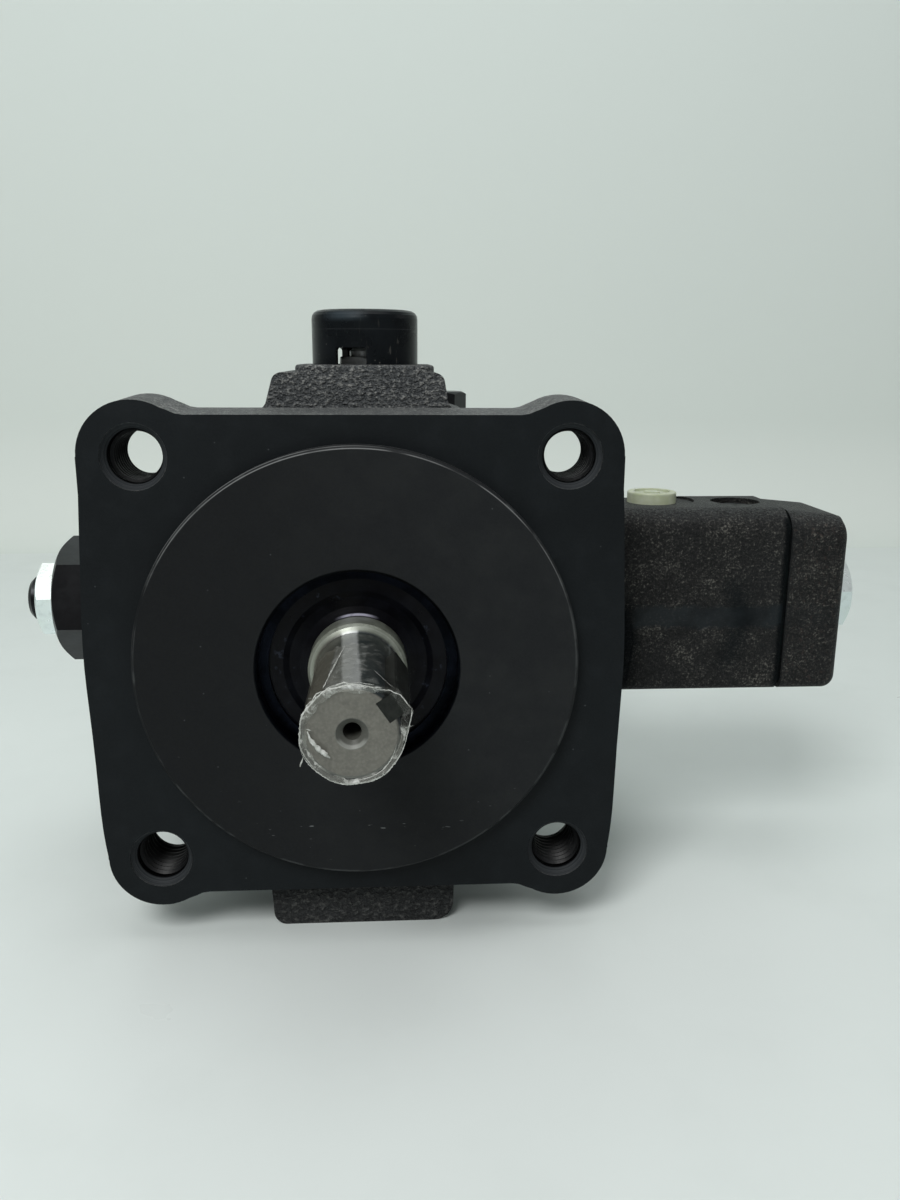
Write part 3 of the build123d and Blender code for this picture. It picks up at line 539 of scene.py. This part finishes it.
def clear_plastic():
    s = Mat("plastic_yellow_green", rough=0.38, spec=0.5)
    x, y, z = s.xyz(s.pos())
    mott = s.noise(260, 3.0, 0.6)
    s.set("Base Color", s.mix(s.rise(mott, 0.3, 0.7), rgb(212, 218, 196), rgb(196, 204, 172)))
    s.b.inputs["Transmission Weight"].default_value = 0.35
    s.b.inputs["Subsurface Weight"].default_value = 0.2
    s.b.inputs["Subsurface Radius"].default_value = (0.002, 0.002, 0.001)
    s.set("Roughness", s.add(0.30, s.mul(mott, 0.2)))
    s.set("Normal", s.bump(s.noise(800, 3.0), 0.00004, 0.7))
    return s.m


def bronze():
    s = Mat("bronze_plain", metal=1.0, rough=0.34)
    mott = s.noise(220, 4.0, 0.6)
    s.set("Base Color", s.mix(s.rise(mott, 0.35, 0.7), rgb(176, 138, 84), rgb(150, 112, 66)))
    s.set("Roughness", s.add(0.28, s.mul(mott, 0.18)))
    s.set("Normal", s.bump(s.noise(1300, 3.0), 0.00003, 0.7))
    return s.m


def film():
    """Thin whitish wrapping: nearly clear where it is flat, milky on its folds and at its bunched rim, with a broad
    milky band along the top that is a painted highlight and a brownish, denser band on the left that is a painted
    reflection.
    """
    s = Mat("clear_wrapping_film", rough=0.2, spec=0.5)
    x, y, z = s.xyz(s.pos())
    ang = s.math("MULTIPLY", s.math("ARCTAN2", z, x), 180 / math.pi)
    crease = s.noise(420, 3.0, 0.65, distort=0.6)
    long = s.noise(700, 3.0, 0.6, vec=s.stretched(1.0, 0.10, 1.0))
    fold = s.rise(crease, 0.46, 0.66)
    # angles from the shaft's right side, over the top
    lean = s.add(ang, s.mul(s.add(y, 0.024), 260.0))
    # painted highlight: a milky band along the top; painted reflection: a denser brownish band on the left
    top = s.band(lean, 87, 116, 1.2)
    next_ = s.band(lean, 76, 86, 1.0)
    left = s.mul(s.rise(lean, 116, 118), s.rise(lean, 172, 178, 1.0, 0.0))
    rim = s.rise(y, -0.0434, -0.0430, 1.0, 0.0)
    col = s.mix(fold, rgb(176, 178, 170), rgb(214, 217, 212))
    col = s.mix(s.mul(left, s.inv(rim)), col, rgb(126, 124, 112))
    s.set("Base Color", col)
    a = s.add(0.03, s.mul(fold, 0.08))
    a = s.add(a, s.mul(top, s.add(0.05, s.mul(long, 0.18))))
    a = s.add(a, s.mul(next_, 0.06))
    a = s.add(a, s.mul(left, s.add(0.10, s.mul(long, 0.18))))
    by_key = s.band(ang, 8, 62, 5)
    a = s.mix(rim, a, s.add(0.24, s.mul(fold, 0.34)))
    a = s.mul(a, s.sub(1.0, s.mul(by_key, 0.82)))
    s.set("Alpha", a)
    s.set("Roughness", s.add(0.16, s.mul(crease, 0.2)))
    s.set("Normal", s.bump(s.noise(520, 3.0, 0.6, distort=0.8), 0.00016, 0.6))
    return s.m


def film_fold():
    """The tight, milky folds of the same wrapping."""
    s = Mat("wrapping_film_fold", rough=0.25, spec=0.5)
    n = s.noise(900, 3.0, 0.6)
    s.set("Base Color", s.mix(s.rise(n, 0.35, 0.65), rgb(190, 193, 187), rgb(228, 230, 226)))
    s.set("Alpha", s.add(0.34, s.mul(n, 0.55)))
    s.set("Roughness", s.add(0.18, s.mul(n, 0.2)))
    return s.m


def thread_hole():
    s = Mat("black_thread_flanks", rough=0.42, spec=0.3)
    n = s.noise(700, 3.0, 0.6)
    s.set("Base Color", s.mix(s.rise(n, 0.35, 0.7), rgb(13, 14, 15), rgb(24, 25, 27)))
    s.set("Roughness", s.add(0.36, s.mul(n, 0.18)))
    s.set("Normal", s.bump(n, 0.00004, 0.6))
    return s.m


MATS = {
    "housing": cast_housing(), "cover": cast_cover(), "block": cast_block("cast_black_block"),
    "cap": cast_block("cast_black_end_cap", True), "shaft": shaft_steel(), "zinc": zinc(), "zinc_dull": zinc_dull(),
    "oxide": black_oxide(), "oxide_y": black_oxide("black_oxide_screws", "y"), "oxide_z": black_oxide("black_oxide_plugs", "z"),
    "key": key_steel(), "rubber": rubber(), "gasket": gasket(), "plastic": cap_plastic(), "clear": clear_plastic(),
    "bronze": bronze(), "steel_y": steel("ground_steel_turned", (158, 158, 156)),
    "steel_x": steel("ground_steel_along", (158, 158, 156), axis="x"),
    "steel_z": steel("ground_steel_up", (158, 158, 156), axis="z"),
    "bearing": steel("bearing_steel_polished", (176, 178, 180), rough=0.14),
    "film": film(), "fold": film_fold(), "thread_hole": thread_hole(),
}

PAINT = {
    "front_housing": "housing", "rear_cover": "cover", "control_block": "block", "end_cap": "cap",
    "drive_shaft": "shaft", "shaft_key": "key", "shaft_seal": "rubber", "cover_o_ring": "rubber",
    "block_gasket": "gasket", "end_cap_gasket": "gasket", "thrust_cap": "plastic", "shipping_plug": "clear",
    "bearing_cage": "bronze", "rear_bush": "bronze", "front_port_plate": "bronze", "rear_port_plate": "bronze",
    "bearing_outer_ring": "bearing", "bearing_inner_ring": "bearing", "bearing_balls": "bearing",
    "volume_lock_nut": "zinc", "pressure_lock_nut": "zinc", "thrust_lock_nut": "zinc_dull", "thrust_screw": "zinc_dull",
    "volume_washer": "zinc", "pressure_washer": "zinc", "thrust_washer": "zinc_dull", "volume_plug_washer": "zinc",
    "volume_plug": "oxide", "volume_screw": "oxide", "pressure_screw": "oxide", "control_screws": "oxide",
    "cover_screws": "oxide_y", "bearing_retaining_ring": "oxide_y", "shaft_snap_ring": "oxide_y",
    "cover_plug": "oxide_z", "gallery_plug": "oxide_z",
    "control_piston": "steel_x", "spring_seat": "steel_x", "pressure_spring": "steel_x", "volume_pusher": "steel_x",
    "thrust_block": "steel_z", "seal_spring": "steel_y", "rotor": "steel_y", "cam_ring": "steel_y",
}

for name, obj in nodes.items():
    kind = PAINT.get(name, "steel_y")
    if obj.material_slots:
        for slot in obj.material_slots:
            slot.material = MATS[kind]
    else:
        obj.data.materials.append(MATS[kind])


# ---------------------------------------------------------------- wrapping film round the shaft end

MM = 0.001


def hull_radius(angle):
    """Radius of a skin stretched over the shaft and its key, by angle about the shaft, in millimetres."""
    r, half, top = 9.72, 2.45, 12.05
    key = math.radians(34.0)
    a = (angle - key + math.pi) % (2 * math.pi) - math.pi
    best = r
    corner = math.hypot(top, half)
    spread = math.atan2(half, top)
    if abs(a) <= spread:
        best = max(best, top / math.cos(a))
    else:
        # the straight run from the key's corner to where it touches the round
        touch = math.acos(min(1.0, r / corner))
        if abs(a) < spread + touch:
            best = max(best, r / math.cos(spread + touch - abs(a)))
    return best


def wob(x, y, z, size=1.0):
    return noise.noise(Vector((x * size, y * size, z * size)))


def film_sleeve():
    """A thin sleeve, stretched over the key, gathered over the rim of the shaft's end face, with a torn back edge."""
    bm = bmesh.new()
    around = 260
    rows = []
    steps = [-15.4, -17.0, -19.0, -21.5, -24.0, -26.5, -29.0, -31.5, -34.0, -36.5, -38.5, -40.0, -41.2, -42.2, -43.0, -43.55, -43.85]
    for k, y in enumerate(steps):
        row = []
        for i in range(around):
            a = 2 * math.pi * i / around
            ca, sa = math.cos(a), math.sin(a)
            r = hull_radius(a)
            w = wob(ca * 3.1, y * 0.22, sa * 3.1)
            w2 = wob(ca * 9.0, y * 0.5 + 7.0, sa * 9.0)
            fine = wob(ca * 26.0, y * 1.1 + 3.0, sa * 26.0)
            back = max(0.0, min(1.0, (y + 20.0) / 5.0))
            r += 0.10 + 0.10 * abs(w) + 0.05 * w2 * (0.4 + back) + 0.015 * fine
            yy = y
            if y < -40.5:
                # bunched outwards just behind the rim
                t = min(1.0, (-40.5 - y) / 2.6)
                lower = 0.55 + 0.45 * max(0.0, -sa)
                r += t * (0.16 + 0.26 * abs(wob(ca * 5.0, 2.0, sa * 5.0)) + 0.10 * fine) * lower
            if k == 0:
                yy += 1.6 * w2 + 1.1 * w + 0.5 * fine
            if k >= len(steps) - 3:
                yy += 0.25 * w2 + 0.14 * fine
            row.append(bm.verts.new((r * ca * MM, yy * MM, r * sa * MM)))
        rows.append(row)
    # over the rim and a little way in on the end face, with a wandering inner edge
    for k, (inset, y) in enumerate(((0.35, -44.05), (0.95, -44.0), (1.5, -43.75), (1.9, -43.5))):
        row = []
        for i in range(around):
            a = 2 * math.pi * i / around
            ca, sa = math.cos(a), math.sin(a)
            w = wob(ca * 2.6, 11.0, sa * 2.6)
            w2 = wob(ca * 8.0, 13.0, sa * 8.0)
            fine = wob(ca * 28.0, 17.0 + k, sa * 28.0)
            r = hull_radius(a) + 0.35
            reach = inset * (0.62 + 0.42 * w + 0.22 * w2 + (0.22 if sa > 0 else 0.0))
            row.append(bm.verts.new(((r - reach + 0.06 * fine) * ca * MM, (y + 0.09 * w2 + 0.06 * fine) * MM, (r - reach + 0.06 * fine) * sa * MM)))
        rows.append(row)
    for p, q in zip(rows, rows[1:]):
        for i in range(around):
            j = (i + 1) % around
            f = bm.faces.new((p[i], q[i], q[j], p[j]))
            f.smooth = True
    mesh = bpy.data.meshes.new("film_sleeve")
    bm.to_mesh(mesh)
    bm.free()
    mesh.materials.append(MATS["film"])
    obj = bpy.data.objects.new("film_sleeve", mesh)
    scene.collection.objects.link(obj)
    sub = obj.modifiers.new("smooth", "SUBSURF")
    sub.levels = sub.render_levels = 1
    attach(obj, "shaft")
    return obj


def strand(bm, pts, width, seed, sag=0.0):
    """A crumpled ribbon of film along a row of points in millimetres, as a lumpy tube, flat across."""
    around = 7
    path = []
    for a, b in zip(pts, pts[1:]):
        for t in range(5):
            path.append(Vector(a).lerp(Vector(b), t / 5))
    path.append(Vector(pts[-1]))
    rows = []
    n = len(path)
    for i, c in enumerate(path):
        ahead = (path[min(i + 1, n - 1)] - path[max(i - 1, 0)]).normalized()
        side_ = ahead.cross(Vector((0.13, 1.0, 0.07))).normalized()
        up = side_.cross(ahead).normalized()
        taper = min(1.0, 0.25 + 2.2 * min(i, n - 1 - i) / n)
        w = width * 0.8 * taper * (0.6 + 1.1 * abs(wob(i * 0.37 + seed, seed * 1.7, 0.3)))
        row = []
        for k in range(around):
            a = 2 * math.pi * k / around
            lump = 1.0 + 0.45 * wob(i * 0.8 + seed, k * 1.3, seed)
            p = c + side_ * (math.cos(a) * w * lump) + up * (math.sin(a) * w * 0.42 * lump)
            p += Vector((wob(i * 0.6, seed, 1.0), 0.4 * wob(i * 0.7, seed, 2.0), wob(i * 0.6, seed, 3.0))) * 0.12
            row.append(bm.verts.new(p * MM))
        rows.append(row)
    for p, q in zip(rows, rows[1:]):
        for k in range(around):
            j = (k + 1) % around
            f = bm.faces.new((p[k], p[j], q[j], q[k]))
            f.smooth = True
    for row in (rows[0], rows[-1]):
        bm.faces.new(row if row is rows[-1] else list(reversed(row)))


def on_skin(angle, y, lift=0.15):
    a = math.radians(angle)
    r = hull_radius(a) + lift
    return (r * math.cos(a), y, r * math.sin(a))


def film_folds():
    """Tight folds of the film: a long one on the upper left, a curl on the end face, fine ones over the key, a rim line and torn tags."""
    bm = bmesh.new()
    # the long fold, leaning back to the left
    strand(bm, [on_skin(102, -16.5, 0.2), on_skin(107, -23.0, 0.35), on_skin(113, -30.0, 0.35), on_skin(119, -37.5, 0.3), on_skin(122, -41.5, 0.4)], 0.22, 1.0)
    strand(bm, [on_skin(109, -26.0, 0.3), on_skin(112, -30.0, 0.4), on_skin(114.5, -34.0, 0.3)], 0.26, 2.0)
    # the gather over the top of the rim
    ring = []
    for a in range(58, 236, 7):
        ring.append(on_skin(a, -43.75 - 0.15 * math.sin(a * 0.31), 0.22 + 0.14 * math.sin(a * 0.17)))
    strand(bm, ring, 0.26, 3.0)
    ring = []
    for a in range(66, 176, 8):
        ring.append(on_skin(a, -42.7 - 0.35 * math.sin(a * 0.23), 0.3 + 0.12 * math.sin(a * 0.4)))
    strand(bm, ring, 0.24, 3.6)
    # the lower rim, two lines that part and meet
    ring = []
    for a in range(196, 384, 6):
        ring.append(on_skin(a, -43.8 - 0.1 * math.sin(a * 0.29), 0.36 + 0.10 * math.sin(a * 0.13)))
    strand(bm, ring, 0.20, 4.0)
    ring = []
    for a in range(262, 352, 6):
        ring.append(on_skin(a, -43.7, -0.75 + 0.35 * math.sin((a - 262) * 0.05)))
    strand(bm, ring, 0.11, 5.0)
    # a curl lying on the end face, lower left
    strand(bm, [(-8.3, -43.9, 0.9), (-7.9, -44.1, -0.5), (-6.9, -44.1, -1.9), (-5.8, -44.0, -3.3), (-4.4, -43.9, -4.2)], 0.62, 6.0)
    strand(bm, [(-8.6, -43.8, 1.3), (-7.7, -44.0, 1.1)], 0.2, 6.5)
    strand(bm, [(-6.4, -43.9, -2.6), (-5.3, -44.0, -3.5), (-4.2, -43.8, -4.6)], 0.70, 6.8)
    # over the key
    strand(bm, [on_skin(67, -33.5, 0.25), on_skin(60, -37.0, 0.3), on_skin(54, -40.5, 0.3), on_skin(49, -43.4, 0.4)], 0.07, 7.0)
    strand(bm, [on_skin(62, -43.9, -0.3), on_skin(52, -44.1, 0.0), on_skin(40, -44.1, 0.1), on_skin(31, -44.0, 0.1), on_skin(24, -43.7, 0.2)], 0.15, 8.0)
    strand(bm, [on_skin(24, -43.6, 0.3), on_skin(16, -43.7, 0.3), on_skin(6, -43.7, 0.4), on_skin(-4, -43.7, 0.5)], 0.16, 9.0)
    # torn tags standing off
    strand(bm, [(9.9, -43.2, 0.9), (10.8, -42.9, 1.2), (11.7, -42.4, 1.1)], 0.08, 10.0)
    strand(bm, [(-9.2, -43.8, -4.3), (-9.7, -44.0, -5.4), (-9.9, -44.0, -6.2)], 0.22, 11.0)
    strand(bm, [on_skin(140, -41.0, 0.3), on_skin(146, -39.0, 0.5)], 0.12, 12.0)
    mesh = bpy.data.meshes.new("film_folds")
    bm.to_mesh(mesh)
    bm.free()
    mesh.materials.append(MATS["fold"])
    obj = bpy.data.objects.new("film_folds", mesh)
    scene.collection.objects.link(obj)
    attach(obj, "shaft")
    return obj


# ---------------------------------------------------------------- screw threads

def thread_helix(bm, centre, axis, start, end, r_root, r_tip, pitch, around=48):
    """A V-shaped helical ridge between two places along an axis; r_tip may lie inside r_root, as in a hole."""
    axis = Vector(axis).normalized()
    u = axis.orthogonal().normalized()
    v = axis.cross(u)
    c = Vector(centre)
    turns = (end - start) / pitch
    n = max(8, int(turns * around))
    rows = []
    for i in range(n + 1):
        a = 2 * math.pi * i / around
        d = start + pitch * i / around
        fade = min(1.0, i / (around * 0.35), (n - i) / (around * 0.35))
        tip = r_root + (r_tip - r_root) * fade
        out = u * math.cos(a) + v * math.sin(a)
        half = pitch * 0.46
        sink = r_root - (0.02 if r_tip > r_root else -0.02)
        prof = ((sink, -half), (tip, -half * 0.16), (tip, half * 0.16), (sink, half))
        rows.append([bm.verts.new((c + axis * (d + h) + out * r) * MM) for r, h in prof])
    for p, q in zip(rows, rows[1:]):
        for k in range(3):
            f = bm.faces.new((p[k], q[k], q[k + 1], p[k + 1]))
            f.smooth = False
    bm.normal_update()


def thread(name, body, material, parts):
    bm = bmesh.new()
    for part in parts:
        thread_helix(bm, *part)
    bmesh.ops.recalc_face_normals(bm, faces=bm.faces)
    mesh = bpy.data.meshes.new(name)
    bm.to_mesh(mesh)
    bm.free()
    mesh.materials.append(MATS[material])
    obj = bpy.data.objects.new(name, mesh)
    scene.collection.objects.link(obj)
    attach(obj, body)
    return obj


def threads():
    holes = []
    for sx in (-1, 1):
        for sz in (-1, 1):
            holes.append(((sx * 48.0, 0.0, sz * 48.0), (0, 1, 0), 3.4, 17.9, 5.9, 5.28, 1.75))
    thread("bolt_hole_threads", "housing", "thread_hole", holes)


# ---------------------------------------------------------------- pressure spring, in two halves

def spring_half(name, keep_low):
    """The coils on one side of the spring's middle."""
    low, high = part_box("pressure_spring")
    middle = [(a + b) / 2 for a, b in zip(low, high)]
    bm = bmesh.new()
    bm.from_mesh(nodes["pressure_spring"].data)
    bmesh.ops.bisect_plane(bm, geom=bm.verts[:] + bm.edges[:] + bm.faces[:], dist=1e-7, plane_co=(middle[0], 0, 0),
                           plane_no=(1, 0, 0), clear_outer=keep_low, clear_inner=not keep_low)
    mesh = bpy.data.meshes.new(name)
    bm.to_mesh(mesh)
    bm.free()
    for face in mesh.polygons:
        face.use_smooth = True
    mesh.materials.clear()
    mesh.materials.append(MATS["steel_x"])
    obj = bpy.data.objects.new(name, mesh)
    scene.collection.objects.link(obj)
    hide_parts("pressure_spring")
    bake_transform(obj)
    return obj


film_sleeve()
film_folds()
threads()
spring_half("pressure_spring_inner_coils", True)
spring_half("pressure_spring_outer_coils", False)


# ---------------------------------------------------------------- camera, at the photograph's place

def camera():
    yaw, pitch, roll = -0.0623193, -0.2409986, -0.0050086
    cy, sy, cp, sp, cr, sr = math.cos(yaw), math.sin(yaw), math.cos(pitch), math.sin(pitch), math.cos(roll), math.sin(roll)
    turn = Matrix(((cy, -sy, 0), (sy, cy, 0), (0, 0, 1))) @ Matrix(((1, 0, 0), (0, cp, -sp), (0, sp, cp))) @ Matrix(((cr, 0, sr), (0, 1, 0), (-sr, 0, cr)))
    right, ahead, up = turn.col[0], turn.col[1], turn.col[2]
    data = bpy.data.cameras.new("camera")
    data.sensor_fit = "AUTO"
    data.sensor_width = 36.0
    data.lens = 994.725 * 36.0 / 1200.0
    data.clip_start, data.clip_end = 0.01, 20.0
    obj = bpy.data.objects.new("camera", data)
    place = (0.0073995, -0.2210843, 0.0697518)
    obj.matrix_world = Matrix((
        (right.x, up.x, -ahead.x, place[0]),
        (right.y, up.y, -ahead.y, place[1]),
        (right.z, up.z, -ahead.z, place[2]),
        (0, 0, 0, 1)))
    scene.collection.objects.link(obj)
    scene.camera = obj


# ---------------------------------------------------------------- floor, backdrop and light

TABLE = -0.0702


def floor_material():
    s = Mat("pale_floor", rough=0.32, spec=0.35)
    big = s.noise(2.2, 3.0, 0.5)
    mid = s.noise(26, 4.0, 0.6)
    col = s.mix(s.rise(big, 0.3, 0.7), rgb(214, 221, 219), rgb(221, 228, 226))
    col = s.mix(s.mul(s.rise(mid, 0.45, 0.8), 0.12), col, rgb(190, 198, 194))
    s.set("Base Color", col)
    s.set("Roughness", s.add(0.24, s.mul(mid, 0.12)))
    s.set("Normal", s.bump(s.noise(60, 3.0), 0.0002, 0.25))
    return s.m


def wall_material():
    s = Mat("pale_backdrop", rough=0.9, spec=0.1)
    x, y, z = s.xyz(s.pos())
    big = s.noise(1.6, 2.0, 0.5)
    col = s.mix(s.rise(z, 0.0, 0.9), rgb(219, 226, 221), rgb(212, 222, 220))
    col = s.mix(s.mul(s.rise(big, 0.35, 0.7), 0.3), col, rgb(213, 222, 219))
    s.set("Base Color", col)
    s.set("Roughness", s.add(0.85, s.mul(big, 0.05)))
    return s.m


def studio():
    fm, wm = floor_material(), wall_material()
    mesh = bpy.data.meshes.new("floor")
    bm = bmesh.new()
    xs = [-2.2, 2.4]
    ys = [-1.8, 0.50]
    v = [bm.verts.new((x, y, TABLE)) for x, y in ((xs[0], ys[0]), (xs[1], ys[0]), (xs[1], ys[1]), (xs[0], ys[1]))]
    bm.faces.new(v)
    bm.to_mesh(mesh)
    bm.free()
    floor = bpy.data.objects.new("floor", mesh)
    mesh.materials.append(fm)
    scene.collection.objects.link(floor)
    # backdrop: leaves the floor in a soft curve and rises
    mesh = bpy.data.meshes.new("backdrop")
    bm = bmesh.new()
    rad = 0.09
    line = [(0.50, TABLE)]
    for i in range(13):
        a = math.pi / 2 * i / 12
        line.append((0.50 + rad * math.sin(a), TABLE + rad * (1 - math.cos(a))))
    line.append((0.50 + rad, 1.9))
    rows = []
    for y, z in line:
        rows.append([bm.verts.new((x, y, z)) for x in xs])
    for a, b in zip(rows, rows[1:]):
        f = bm.faces.new((a[0], a[1], b[1], b[0]))
        f.smooth = True
    bm.to_mesh(mesh)
    bm.free()
    wall = bpy.data.objects.new("backdrop", mesh)
    mesh.materials.append(wm)
    scene.collection.objects.link(wall)


def area(name, place, look, size, power, colour=(1, 1, 1), size_y=None):
    data = bpy.data.lights.new(name, "AREA")
    data.shape = "RECTANGLE"
    data.size = size
    data.size_y = size_y or size
    data.energy = power
    data.color = colour
    obj = bpy.data.objects.new(name, data)
    obj.location = place
    obj.rotation_mode = "QUATERNION"
    obj.rotation_quaternion = (Vector(look) - Vector(place)).to_track_quat("-Z", "Y")
    scene.collection.objects.link(obj)
    return obj


def lights():
    world = bpy.data.worlds.new("studio")
    scene.world = world
    world.use_nodes = True
    bg = world.node_tree.nodes["Background"]
    bg.inputs[0].default_value = (0.95, 0.97, 0.965, 1.0)
    bg.inputs[1].default_value = 0.210
    area("overhead", (0.03, 0.02, 1.15), (0.02, 0.04, 0.0), 0.75, 2.7, (0.99, 1.0, 0.995), 0.6)
    area("key", (-0.34, -0.78, 0.86), (0.02, 0.04, -0.02), 0.45, 10.4, (1.0, 1.0, 0.99))
    area("side", (1.2, 0.1, 0.75), (0.03, 0.05, 0.0), 0.7, 1.0, (0.99, 1.0, 1.0))
    area("wall_light", (0.0, -0.1, 0.9), (0.0, 0.60, 0.35), 1.4, 1.15, (1.0, 1.0, 1.0), 0.5)
    scene.view_settings.view_transform = "Standard"
    scene.view_settings.look = "None"
    scene.view_settings.exposure = 0.0


camera()
studio()
lights()
